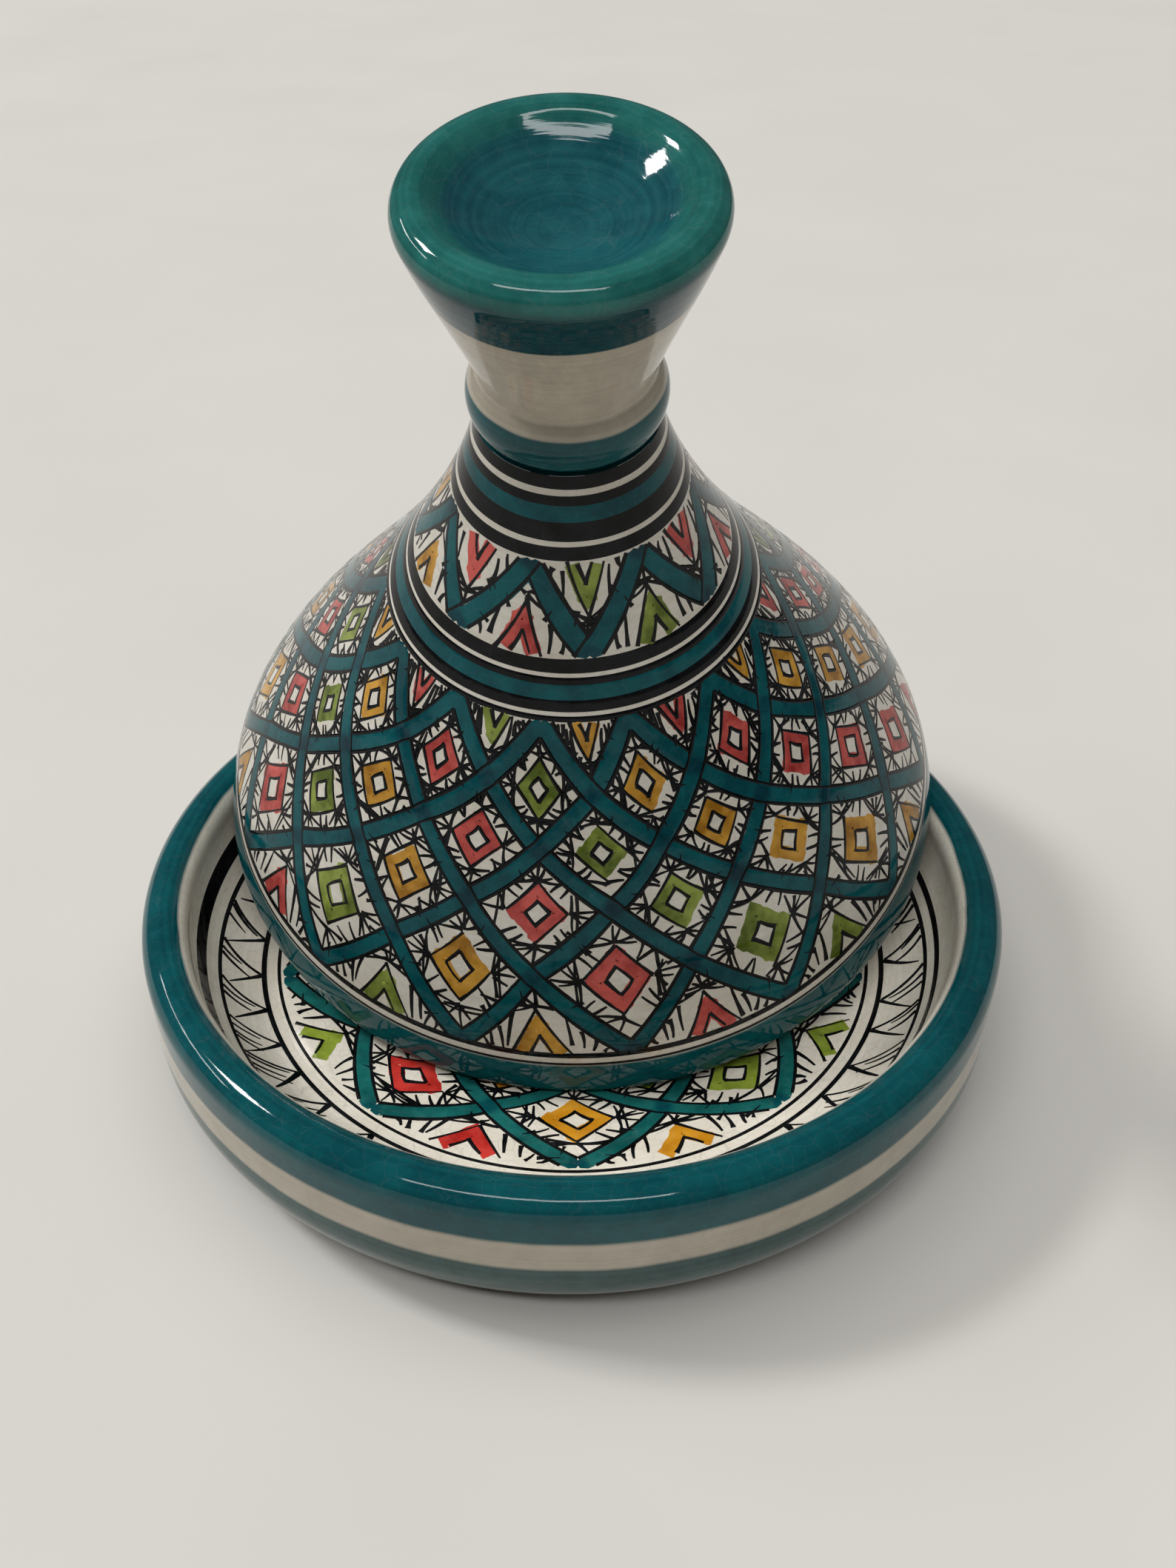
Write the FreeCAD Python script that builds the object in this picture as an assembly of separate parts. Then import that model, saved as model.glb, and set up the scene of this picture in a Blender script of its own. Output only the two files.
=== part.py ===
import FreeCAD
import Part

import math
import os

# Tagine pot: a dish, and a bell-shaped lid with a knob that stands ajar in it, front edge in the well.
# Millimetres. +Z is up, the origin is the middle of the dish's foot, and -Y is the front.

# Dish
dish_radius = 100.0
dish_height = 41.0
rim_thickness = 10.4
belly_round = 16.5
well_round = 20.0
floor_sag = 4.5
foot_radius = 62.0
foot_height = 3.0

# Lid cone, with heights from the lowest point of its edge
lid_play = 2.0
lid_wall = 5.5
neck_height = 120.0
neck_radius = 17.8
skirt_lean = 4.4
skirt_reach = 28.5
throat_spread = 14.2
throat_reach = 51.0

# Slip between the cone and the knob
slip_thickness = 1.0
slip_inset = 1.2

# Knob, with heights from the seam
knob_radius = 28.6
knob_height = 47.2
knob_rim_thickness = 6.4
bead_height = 10.5
bead_peak = 6.3
bead_bulge = 1.2
waist_radius = 16.8
waist_lean = 0.8
waist_reach = 5.5
flank_angle = 73.0
flank_reach = 9.4
cup_depth = 8.8
cup_floor_thickness = 6.0

# How the lid stands in the dish
lid_setback = 35.0
steepest_tilt = 45.0
contact_gap = 0.3
lip_points = 120
front_share = 0.5
halvings = 30

up = FreeCAD.Vector(0, 0, 1)
right = FreeCAD.Vector(1, 0, 0)
origin = FreeCAD.Vector(0, 0, 0)


def at(radius, height):
    return FreeCAD.Vector(radius, 0, height)


def polar(centre, radius, degrees):
    angle = math.radians(degrees)
    return centre + at(radius * math.cos(angle), radius * math.sin(angle))


def line(start, end):
    return Part.LineSegment(start, end).toShape()


def arc(start, middle, end):
    return Part.Arc(start, middle, end).toShape()


def round_arc(centre, radius, first, last):
    middle = (first + last) / 2
    return arc(*[polar(centre, radius, degrees) for degrees in (first, middle, last)])


def bezier(poles):
    curve = Part.BezierCurve()
    curve.setPoles(poles)
    return curve.toShape()


def turned(edges):
    profile = Part.Face(Part.Wire(Part.__sortEdges__(edges)))
    return profile.revolve(origin, up, 360)


def offset_poles(poles, distance):
    # Moves a control polygon inwards by one distance, with mitred corners.
    legs = [end - start for start, end in zip(poles, poles[1:])]
    sides = [FreeCAD.Vector(-leg.z, 0, leg.x).normalize() for leg in legs]
    moved = []
    for pole, before, after in zip(poles, sides[:1] + sides, sides + sides[-1:]):
        miter = before + after
        moved.append(pole + miter * (2 * distance / miter.dot(miter)))
    return moved


# Dish: a sagging floor, a rounded well, a rolled rim, a full belly and a flat foot
rim_round = rim_thickness / 2
rim_centre = at(dish_radius - rim_round, dish_height - rim_round)
well_edge = dish_radius - rim_thickness
well_centre = at(well_edge - well_round, rim_centre.z)
floor_corner = at(well_centre.x, well_centre.z - well_round)
floor_curve = (floor_corner.x ** 2 + floor_sag ** 2) / (2 * floor_sag)
floor_centre = at(0, floor_corner.z - floor_sag + floor_curve)
floor_middle = at(0, floor_centre.z - floor_curve)
floor_end = math.degrees(math.atan2(floor_corner.z - floor_centre.z, floor_corner.x))
belly_centre = at(dish_radius - belly_round, foot_height + belly_round)

dish = turned([
    round_arc(floor_centre, floor_curve, -90, floor_end),
    round_arc(well_centre, well_round, -90, 0),
    round_arc(rim_centre, rim_round, 180, 0),
    line(at(dish_radius, rim_centre.z), at(dish_radius, belly_centre.z)),
    round_arc(belly_centre, belly_round, 0, -90),
    line(at(belly_centre.x, foot_height), at(foot_radius, foot_height)),
    line(at(foot_radius, foot_height), at(foot_radius, 0)),
    line(at(foot_radius, 0), origin),
    line(origin, floor_middle),
])

# Lid cone: its edge drops inside the rim, and its wall has one thickness from edge to neck
lid_edge = well_edge - lid_play
lip_round = lid_wall / 2
lip_centre = at(lid_edge - lip_round, lip_round)
neck_bore = neck_radius - lid_wall
outer_poles = [
    at(lid_edge, lip_round),
    at(lid_edge - skirt_lean, lip_round + skirt_reach),
    at(neck_radius + throat_spread, neck_height - throat_reach),
    at(neck_radius, neck_height),
]
inner_poles = offset_poles(outer_poles, lid_wall)
inner_poles[0] = at(lid_edge - lid_wall, lip_round)
inner_poles[-1] = at(neck_bore, neck_height)

lid_cone = turned([
    bezier(outer_poles),
    line(outer_poles[-1], inner_poles[-1]),
    bezier(inner_poles),
    round_arc(lip_centre, lip_round, 180, 360),
])

# Slip ring, kept back from both sides of the seam
seam = neck_height + slip_thickness
slip_outer = neck_radius - slip_inset
slip_inner = neck_bore + slip_inset
luting_ring = turned([
    line(at(slip_inner, neck_height), at(slip_outer, neck_height)),
    line(at(slip_outer, neck_height), at(slip_outer, seam)),
    line(at(slip_outer, seam), at(slip_inner, seam)),
    line(at(slip_inner, seam), at(slip_inner, neck_height)),
])

# Knob: bead, waist, flared flank, rolled rim, a cup that runs on from the rim, and a domed hollow below
bead_top = at(waist_radius, seam + bead_height)
bead_side = at(neck_radius + bead_bulge, seam + bead_peak)
knob_rim_round = knob_rim_thickness / 2
knob_rim_centre = at(knob_radius - knob_rim_round, seam + knob_height - knob_rim_round)
flank_end = polar(knob_rim_centre, knob_rim_round, flank_angle - 90)
flank_poles = [
    bead_top,
    bead_top + at(waist_lean, waist_reach),
    polar(flank_end, -flank_reach, flank_angle),
    flank_end,
]
cup_floor = at(0, seam + knob_height - cup_depth)
rim_rise = cup_depth - knob_rim_round
cup_curve = (knob_rim_centre.x ** 2 + rim_rise ** 2 - knob_rim_round ** 2) / (2 * cup_depth)
cup_centre = cup_floor + at(0, cup_curve)
cup_end = math.degrees(math.atan2(knob_rim_centre.z - cup_centre.z, knob_rim_centre.x))
hollow_top = cup_floor - at(0, cup_floor_thickness)
dome_centre = hollow_top - at(0, neck_bore)

knob = turned([
    line(at(neck_bore, seam), at(neck_radius, seam)),
    arc(at(neck_radius, seam), bead_side, bead_top),
    bezier(flank_poles),
    round_arc(knob_rim_centre, knob_rim_round, flank_angle - 90, cup_end + 180),
    round_arc(cup_centre, cup_curve, cup_end, -90),
    line(cup_floor, hollow_top),
    round_arc(dome_centre, neck_bore, 90, 0),
    line(at(neck_bore, dome_centre.z), at(neck_bore, seam)),
])


def room_above_dish(radius, height):
    # Distance from a point to the well and the rim, negative inside the clay.
    to_rim = math.hypot(radius - rim_centre.x, height - rim_centre.z) - rim_round
    if radius >= well_edge:
        return to_rim if height > rim_centre.z else height - rim_centre.z
    if radius > well_centre.x and height < well_centre.z:
        in_well = well_round - math.hypot(radius - well_centre.x, height - well_centre.z)
    else:
        in_well = floor_curve - math.hypot(radius, height - floor_centre.z)
    return min(to_rim, in_well)


def lip_room(at_front, tilt, height):
    # Least room under the front of the lid's edge, or under the rest of it.
    cosine = math.cos(math.radians(tilt))
    sine = math.sin(math.radians(tilt))
    rooms = []
    for step in range(lip_points):
        turn = 2 * math.pi * step / lip_points
        if (math.sin(turn) < -front_share) == at_front:
            x = lip_centre.x * math.cos(turn)
            y = lip_centre.x * math.sin(turn)
            radius = math.hypot(x, lid_setback + y * cosine - lip_centre.z * sine)
            rooms.append(room_above_dish(radius, height + y * sine + lip_centre.z * cosine))
    return min(rooms) - lip_round


def halve(low, high, too_low):
    for _ in range(halvings):
        middle = (low + high) / 2
        if too_low(middle):
            low = middle
        else:
            high = middle
    return high


def resting_height(tilt):
    return halve(0, dish_height + lid_edge, lambda height: lip_room(False, tilt, height) < contact_gap)


# The sides of the lid stand on the rim, and it leans forward until its front stands on the floor
lid_tilt = halve(0, steepest_tilt, lambda tilt: lip_room(True, tilt, resting_height(tilt)) > contact_gap)
lid_height = resting_height(lid_tilt)
lid_place = FreeCAD.Placement(
    FreeCAD.Vector(0, lid_setback, lid_height),
    FreeCAD.Rotation(right, lid_tilt),
)
print("lid tilt", round(lid_tilt, 3), "lid height", round(lid_height, 3))

for lid_piece in (lid_cone, luting_ring, knob):
    lid_piece.Placement = lid_place

os.makedirs("parts", exist_ok=True)
dish.exportStep("parts/dish.step")
lid_cone.exportStep("parts/lid_cone.step")
luting_ring.exportStep("parts/luting_ring.step")
knob.exportStep("parts/knob.step")
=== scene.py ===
import math
import random

import bpy
import numpy as np
from mathutils import Matrix, Vector


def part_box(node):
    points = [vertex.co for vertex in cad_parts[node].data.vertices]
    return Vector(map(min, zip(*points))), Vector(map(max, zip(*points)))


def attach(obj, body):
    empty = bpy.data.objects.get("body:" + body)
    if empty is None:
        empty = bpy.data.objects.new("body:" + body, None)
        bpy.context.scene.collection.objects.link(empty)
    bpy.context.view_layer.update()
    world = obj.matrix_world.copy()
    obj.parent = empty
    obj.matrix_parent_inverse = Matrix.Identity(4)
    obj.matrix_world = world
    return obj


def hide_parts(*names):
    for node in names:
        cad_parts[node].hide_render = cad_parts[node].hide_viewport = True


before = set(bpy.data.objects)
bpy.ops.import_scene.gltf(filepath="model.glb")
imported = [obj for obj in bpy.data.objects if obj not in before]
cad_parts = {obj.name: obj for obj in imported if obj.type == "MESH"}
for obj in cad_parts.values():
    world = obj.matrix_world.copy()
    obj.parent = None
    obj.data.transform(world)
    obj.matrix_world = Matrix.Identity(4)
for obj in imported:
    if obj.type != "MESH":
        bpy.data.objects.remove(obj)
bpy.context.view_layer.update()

mm = 0.001
scene = bpy.context.scene
hand = random.Random(11)  # the painter's hand, the same each run


def stray(amount):
    return hand.uniform(-amount, amount)


# Node helpers

def addNode(tree, kind, sockets=None, **settings):
    made = tree.nodes.new(kind)
    for name, value in settings.items():
        setattr(made, name, value)
    for socket, value in (sockets or {}).items():
        if isinstance(value, bpy.types.NodeSocket):
            tree.links.new(value, made.inputs[socket])
        else:
            made.inputs[socket].default_value = value
    return made


def calc(tree, operation, first, second=0.0, third=0.0):
    made = addNode(tree, "ShaderNodeMath", {0: first, 1: second, 2: third}, operation=operation)
    return made.outputs[0]


def noise(tree, place, scale, detail, roughness=0.5):
    made = addNode(tree, "ShaderNodeTexNoise", {
        "Vector": place, "Scale": scale, "Detail": detail, "Roughness": roughness})
    return made.outputs["Fac"]


def lineNoise(tree, along, scale, detail):
    made = addNode(tree, "ShaderNodeTexNoise", {
        "W": along, "Scale": scale, "Detail": detail}, noise_dimensions="1D")
    return made.outputs["Fac"]


def remap(tree, value, low, high, first=0.0, last=1.0):
    # low to high becomes first to last, and stops there
    made = addNode(tree, "ShaderNodeMapRange", {
        "Value": value, "From Min": low, "From Max": high, "To Min": first, "To Max": last}, clamp=True)
    return made.outputs[0]


def mixed(tree, factor, first, second):
    # a mix node's colours are its sockets 6 and 7, and its output 2
    made = addNode(tree, "ShaderNodeMix", {0: factor, 6: first, 7: second}, data_type="RGBA")
    return made.outputs[2]


def partsOf(tree, vector):
    return addNode(tree, "ShaderNodeSeparateXYZ", {0: vector}).outputs


def shapeOf(tree, piece):
    return addNode(tree, "GeometryNodeObjectInfo", {"Object": piece}).outputs["Geometry"]


def readValue(tree, name, kind):
    return addNode(tree, "GeometryNodeInputNamedAttribute", {"Name": name}, data_type=kind).outputs[0]


def storeValue(tree, geometry, name, value, kind, domain):
    made = addNode(tree, "GeometryNodeStoreNamedAttribute", {
        "Geometry": geometry, "Name": name, "Value": value}, data_type=kind, domain=domain)
    return made.outputs[0]


def addPiece(name, data):
    made = bpy.data.objects.new(name, data)
    scene.collection.objects.link(made)
    return made


def newTree(name, **inputs):
    # inputs: the kind of each socket; the tree ends in one geometry output
    tree = bpy.data.node_groups.new(name, "GeometryNodeTree")
    for label, kind in inputs.items():
        tree.interface.new_socket(label, in_out="INPUT", socket_type="NodeSocket" + kind)
    tree.interface.new_socket("Geometry", in_out="OUTPUT", socket_type="NodeSocketGeometry")
    return tree, tree.nodes.new("NodeGroupInput").outputs


def endTree(tree, geometry, material):
    smooth = addNode(tree, "GeometryNodeSetShadeSmooth", {"Geometry": geometry})
    real = addNode(tree, "GeometryNodeRealizeInstances", {"Geometry": smooth.outputs[0]})
    dressed = addNode(tree, "GeometryNodeSetMaterial", {"Geometry": real.outputs[0], "Material": material})
    addNode(tree, "NodeGroupOutput", {"Geometry": dressed.outputs[0]})


def grow(name, tree, **values):
    # runs the tree on an empty mesh and keeps the result as a plain mesh
    seedMesh = bpy.data.meshes.new(name + "Seed")
    maker = addPiece(name + "Maker", seedMesh)
    modifier = maker.modifiers.new("nodes", "NODES")
    modifier.node_group = tree
    for item in tree.interface.items_tree:
        if item.in_out == "INPUT":
            modifier[item.identifier] = values[item.name]
    graph = bpy.context.evaluated_depsgraph_get()
    mesh = bpy.data.meshes.new_from_object(maker.evaluated_get(graph))
    bpy.data.objects.remove(maker)
    bpy.data.meshes.remove(seedMesh)
    mesh.name = name
    return addPiece(name, mesh)


# Colours are written as they look in plain light, apart from the painted light, shade and reflection marked
# below

def paintColour(code):
    parts = [int(code[i:i + 2], 16) / 255 for i in (0, 2, 4)]
    linear = [c / 12.92 if c < 0.04045 else ((c + 0.055) / 1.055) ** 2.4 for c in parts]
    return (*linear, 1.0)


pigments = {
    "cream": ("d8d3c8", "c7c0b2"),
    # painted light: the cream of the dish's well, written paler than the lid's cream for the light falling
    # into the well
    "creamWithPaintedLight": ("ebe5d7", "dcd4c3"),
    # painted shade: the same cream written darker for the dish's outer wall and the knob's waist, which lie
    # in shade
    "creamWithPaintedShade": ("beb6a6", "aca494"),
    "teal": ("0c555a", "053f46"),
    # the knob's rim: a paler, greener teal, partly its own tone and partly a painted sheen
    "rimTealWithPaintedSheen": ("2b716b", "175551"),
    # the knob's cup: a bluer teal, partly a painted reflection
    "cupTealWithPaintedReflection": ("1f5d62", "11454e"),
    # the knob's flank: a darker, bluer teal, a painted reflection of dark surroundings
    "flankTealWithPaintedDarkReflection": ("17454b", "0c353d"),
    "overlap": ("08434d", "032a33"),
    "wash": ("3f5a58", "2e4746"),
    "clay": ("b98663", "a06e4d"),
    "black": ("16171a", "060708"),
    "red": ("c85b53", "8c2b29"),
    "yellow": ("cc993e", "8d5f16"),
    "green": ("8b9946", "4c5a19"),
    "brightTeal": ("1e6c67", "0e4e4c"),
    "brightRed": ("cf3d35", "a92520"),
    "brightYellow": ("db9b2a", "bd7d15"),
    "brightGreen": ("97a83e", "6d7f28"),
    "floor": ("dad7d1", "d2cec7"),
}


def tones(pigment):
    # where it lies thin and where it lies thick
    return [paintColour(code) for code in pigments[pigment]]


glazeLook = {
    "shine": 0.3,
    "paintShine": 0.16,
    "roughness": 0.04,
    "roughSpread": 0.04,
    "blotchScale": 75.0,
    "streakScale": 260.0,
    "streakShare": 0.35,
    "blotchRange": (0.4, 0.6),
    "throwStep": 1.1 * mm,  # fine rings left by the wheel
    "throwShare": 0.4,
    "throwRange": (0.3, 0.7),
    "crispEdge": 0.1 * mm,  # width of an edge between two colours
    "driftScale": 60.0,  # edges of colour wander a little
    "drift": 1.0 * mm,
    "crackScale": 300.0,
    "crackWidth": 0.035,
    "crackTone": "9a968c",  # pale on dark paint, dark on cream
    "crackShade": 0.015,
    "creamCrack": 0.4,  # more of it the paler the glaze
    "crackSway": 160.0,
    "crackBend": 2.0 * mm,
    "bareRough": 0.6,  # added where the clay is bare
    "bumpDepth": 0.03 * mm,
    "bumpStrength": 0.5,
}


def startMaterial(name, shine=glazeLook["shine"]):
    material = bpy.data.materials.new(name)
    material.use_nodes = True
    tree = material.node_tree
    tree.nodes.clear()
    shader = addNode(tree, "ShaderNodeBsdfPrincipled", {"Specular IOR Level": shine})
    addNode(tree, "ShaderNodeOutputMaterial", {"Surface": shader.outputs[0]})
    place = addNode(tree, "ShaderNodeTexCoord").outputs["Object"]
    return material, tree, shader, place


def blotches(tree, place):
    # watery unevenness: broad blotches with finer grain
    fineShare = glazeLook["streakShare"]
    broad = noise(tree, place, glazeLook["blotchScale"], 3.0, 0.6)
    fine = noise(tree, place, glazeLook["streakScale"], 2.0, 0.55)
    both = calc(tree, "MULTIPLY_ADD", fine, fineShare, calc(tree, "MULTIPLY", broad, 1 - fineShare))
    return remap(tree, both, *glazeLook["blotchRange"])


def finishGlaze(tree, shader, place, colour, grain, bareness=None):
    # fine crazing, an uneven gloss and a shallow bump
    sway = addNode(tree, "ShaderNodeTexNoise", {
        "Vector": place, "Scale": glazeLook["crackSway"], "Detail": 1.0})
    bent = addNode(tree, "ShaderNodeVectorMath", {
        0: sway.outputs["Color"], 1: (glazeLook["crackBend"],) * 3, 2: place}, operation="MULTIPLY_ADD")
    cracks = addNode(tree, "ShaderNodeTexVoronoi", {
        "Vector": bent.outputs[0], "Scale": glazeLook["crackScale"], "Randomness": 1.0},
        feature="DISTANCE_TO_EDGE")
    line = remap(tree, cracks.outputs["Distance"], 0.0, glazeLook["crackWidth"], 1.0, 0.0)
    paleness = addNode(tree, "ShaderNodeRGBToBW", {0: colour}).outputs[0]
    seen = calc(tree, "MULTIPLY_ADD", paleness, glazeLook["creamCrack"], glazeLook["crackShade"])
    share = calc(tree, "MULTIPLY", line, seen)
    crazed = mixed(tree, share, colour, paintColour(glazeLook["crackTone"]))
    tree.links.new(crazed, shader.inputs["Base Color"])
    rough = calc(tree, "MULTIPLY_ADD", grain, glazeLook["roughSpread"], glazeLook["roughness"])
    if bareness is not None:
        rough = calc(tree, "MULTIPLY_ADD", bareness, glazeLook["bareRough"], rough)
    tree.links.new(rough, shader.inputs["Roughness"])
    bump = addNode(tree, "ShaderNodeBump", {
        "Height": grain, "Distance": glazeLook["bumpDepth"], "Strength": glazeLook["bumpStrength"]})
    tree.links.new(bump.outputs[0], shader.inputs["Normal"])


def paintMaterial(pigment, overlap=None):
    material, tree, shader, place = startMaterial(pigment + "Paint", glazeLook["paintShine"])
    thin, thick = tones(pigment)
    grain = blotches(tree, place)
    colour = mixed(tree, grain, thick, thin)
    if overlap:
        # two coats where the bands cross
        coats = addNode(tree, "ShaderNodeAttribute", attribute_name="coats").outputs["Fac"]
        second = mixed(tree, grain, *reversed(tones(overlap)))
        colour = mixed(tree, coats, colour, second)
    finishGlaze(tree, shader, place, colour, grain)
    return material


def zonedMaterial(name, zones, length):
    # zones: (from this distance along the profile, pigment, width of the edge if it isn't crisp)
    material, tree, shader, place = startMaterial(name)
    skin = addNode(tree, "ShaderNodeUVMap", uv_map="OFBake").outputs[0]
    sway = calc(tree, "SUBTRACT", noise(tree, place, glazeLook["driftScale"], 2.0), 0.5)
    along = calc(tree, "MULTIPLY_ADD", sway, glazeLook["drift"] / length, partsOf(tree, skin)[0])
    rings = lineNoise(tree, along, length / glazeLook["throwStep"], 2.0)
    ringMark = remap(tree, rings, *glazeLook["throwRange"])
    ringShare = glazeLook["throwShare"]
    blotch = calc(tree, "MULTIPLY", blotches(tree, place), 1 - ringShare)
    grain = calc(tree, "MULTIPLY_ADD", ringMark, ringShare, blotch)
    layers = []
    for layer in (0, 1, 2):
        ramp = addNode(tree, "ShaderNodeValToRGB", {"Fac": along})
        stops = ramp.color_ramp.elements
        stops.remove(stops[1])
        for start, pigment, *soft in zones:
            if layer < 2:
                shade = tones(pigment)[1 - layer]
            else:
                shade = (1.0, 1.0, 1.0, 1.0) if pigment == "clay" else (0.0, 0.0, 0.0, 1.0)
            if start == 0.0:
                stops[0].color = shade
            else:
                edge = soft[0] if soft else glazeLook["crispEdge"]
                stops.new((start - edge / 2) / length).color = before
                stops.new((start + edge / 2) / length).color = shade
            before = shade
        layers.append(ramp.outputs[0])
    finishGlaze(tree, shader, place, mixed(tree, grain, layers[0], layers[1]), grain, layers[2])
    return material


# Turned bodies: a profile (radius, height) swept round the wheel by Geometry Nodes

def arcPoints(centre, radius, first, last, step=0.3 * mm):
    count = max(2, math.ceil(abs(math.radians(last - first)) * radius / step))
    turns = [math.radians(first + (last - first) * i / count) for i in range(count + 1)]
    return [(centre[0] + radius * math.cos(t), centre[1] + radius * math.sin(t)) for t in turns]


def bezierPoints(poles, count=240):
    poles = np.array(poles)
    t = np.linspace(0, 1, count + 1)[:, None]
    curve = (1 - t) ** 3 * poles[0] + 3 * t * (1 - t) ** 2 * poles[1]
    return curve + 3 * t * t * (1 - t) * poles[2] + t ** 3 * poles[3]


def joined(*runs):
    points = []
    for run in runs:
        points.extend(run[1:] if points and math.dist(points[-1], run[0]) < 1e-7 else run)
    return np.array(points)


def lengths(profile):
    return np.concatenate([[0.0], np.cumsum(np.hypot(*np.diff(profile, axis=0).T))])


clayLook = {
    "unevenScale": 22.0,
    "unevenShare": 0.75,
    "throwScale": 34.0,
    "throwShare": 0.5,
    "seamGap": 0.002 * mm,
}


def turnedTree():
    tree, given = newTree(
        "turnedOnTheWheel", Profile="Object", Rows="Int", Columns="Int", Ripple="Float", Material="Material")
    grid = addNode(tree, "GeometryNodeMeshGrid", {
        "Size X": 1.0, "Size Y": 1.0, "Vertices X": given["Rows"], "Vertices Y": given["Columns"]})
    spot = partsOf(tree, addNode(tree, "GeometryNodeInputPosition").outputs[0])
    share = calc(tree, "ADD", spot[0], 0.5)
    turn = calc(tree, "MULTIPLY", calc(tree, "ADD", spot[1], 0.5), 2 * math.pi)
    sample = addNode(tree, "GeometryNodeSampleCurve", {
        "Curves": shapeOf(tree, given["Profile"]), "Factor": share}, mode="FACTOR", use_all_curves=True)
    edge, lean = (partsOf(tree, sample.outputs[k]) for k in ("Position", "Tangent"))
    cosine, sine = calc(tree, "COSINE", turn), calc(tree, "SINE", turn)

    def onWheel(radius, height):
        sideways, forward = (calc(tree, "MULTIPLY", radius, way) for way in (cosine, sine))
        return addNode(tree, "ShaderNodeCombineXYZ", {0: sideways, 1: forward, 2: height}).outputs[0]

    uneven = noise(tree, onWheel(edge[0], edge[2]), clayLook["unevenScale"], 1.0)
    throwing = lineNoise(tree, share, clayLook["throwScale"], 1.0)
    ridges = calc(tree, "MULTIPLY", throwing, clayLook["throwShare"])
    ripples = calc(tree, "MULTIPLY_ADD", uneven, clayLook["unevenShare"], ridges)
    depth = calc(tree, "MULTIPLY", given["Ripple"], ripples)
    # only ever cut into the clay: the outward side is to the left of the profile's run
    wide = calc(tree, "MAXIMUM", calc(tree, "MULTIPLY_ADD", lean[2], depth, edge[0]), 0.0)
    tall = calc(tree, "SUBTRACT", edge[2], calc(tree, "MULTIPLY", lean[0], depth))
    moved = addNode(tree, "GeometryNodeSetPosition", {
        "Geometry": grid.outputs["Mesh"], "Position": onWheel(wide, tall)}).outputs[0]
    mapped = storeValue(tree, moved, "OFBake", grid.outputs["UV Map"], "FLOAT2", "CORNER")
    closed = addNode(tree, "GeometryNodeMergeByDistance", {
        "Geometry": mapped, "Distance": clayLook["seamGap"]})
    endTree(tree, closed.outputs[0], given["Material"])
    return tree


def lineCurve(name, runs):
    # runs: (points, half widths or None, closed)
    curve = bpy.data.curves.new(name, "CURVE")
    curve.dimensions = "3D"
    for points, halves, closed in runs:
        spline = curve.splines.new("POLY")
        spline.points.add(len(points) - 1)
        spline.points.foreach_set("co", [v for p in points for v in (*p, 1.0)])
        if halves is not None:
            spline.points.foreach_set("radius", halves)
        spline.use_cyclic_u = closed
    return addPiece(name, curve)


def dropCurve(helper):
    curve = helper.data
    bpy.data.objects.remove(helper)
    bpy.data.curves.remove(curve)


wheel = turnedTree()


def throwBody(part, look, profile, zones, place, node, body):
    name = part + "Body"
    helper = lineCurve(name + "Profile", [([(r, 0.0, z) for r, z in profile], None, False)])
    piece = grow(
        name, wheel, Profile=helper, Rows=look["rows"], Columns=look["columns"], Ripple=look["ripple"],
        Material=zonedMaterial(part + "Glaze", zones, lengths(profile)[-1]))
    dropCurve(helper)
    piece.data.transform(place)
    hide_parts(node)
    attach(piece, body)
    print(name, len(piece.data.polygons), "faces")
    return piece


# Dish

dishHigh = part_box("dish")[1]
dishLook = {
    "rim": 10.4 * mm,
    "bellyRound": 16.5 * mm,
    "wellRound": 20.0 * mm,
    "floorSag": 4.5 * mm,
    "footRadius": 62.0 * mm,
    "footHeight": 3.0 * mm,
    "rows": 230,
    "columns": 288,
    "ripple": 0.16 * mm,
    "wallLine": 29.5 * mm,  # teal rim above, cream below
    "washLine": 22.0 * mm,  # cream above, thin blue-grey wash below
    "washEnd": 23.0 * mm,  # how far the wash runs round the belly
    "innerLine": 39.2 * mm,  # teal ends here inside the rim
}
dishRadius = dishHigh.x
footRadius, footHeight = dishLook["footRadius"], dishLook["footHeight"]
rimRound = dishLook["rim"] / 2
rimCentre = (dishRadius - rimRound, dishHigh.z - rimRound)
wellCentre = (dishRadius - dishLook["rim"] - dishLook["wellRound"], rimCentre[1])
floorRise = wellCentre[1] - dishLook["wellRound"]
floorCurve = (wellCentre[0] ** 2 + dishLook["floorSag"] ** 2) / (2 * dishLook["floorSag"])
floorCentre = (0.0, floorRise - dishLook["floorSag"] + floorCurve)
floorEnd = math.degrees(math.atan2(floorRise - floorCentre[1], wellCentre[0]))
bellyCentre = (dishRadius - dishLook["bellyRound"], footHeight + dishLook["bellyRound"])
wellFace = joined(
    arcPoints(floorCentre, floorCurve, -90, floorEnd),
    arcPoints(wellCentre, dishLook["wellRound"], -90, 0),
)
dishProfile = joined(
    wellFace,
    arcPoints(rimCentre, rimRound, 180, 0),
    arcPoints(bellyCentre, dishLook["bellyRound"], 0, -90),
    [(bellyCentre[0], footHeight), (footRadius, footHeight), (footRadius, 0.0), (0.0, 0.0)],
)
wellEnd = lengths(wellFace)[-1]
wallTop = wellEnd + math.pi * rimRound + rimCentre[1]  # minus a height on the wall: how far along it is
innerTurn = math.asin((dishLook["innerLine"] - rimCentre[1]) / rimRound)
dishZones = [
    # painted light: the well in a paler cream
    (0.0, "creamWithPaintedLight"),
    (wellEnd + innerTurn * rimRound, "teal"),
    # painted shade: the outer wall's cream band in a darker cream
    (wallTop - dishLook["wallLine"], "creamWithPaintedShade"),
    (wallTop - dishLook["washLine"], "wash"),
    (wallTop - dishLook["washLine"] + dishLook["washEnd"], "clay"),
]
dishBody = throwBody("dish", dishLook, dishProfile, dishZones, Matrix(), "dish", "dish")


# Lid cone, in the lid's own frame: its axis and height come from the slip ring under the knob

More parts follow.
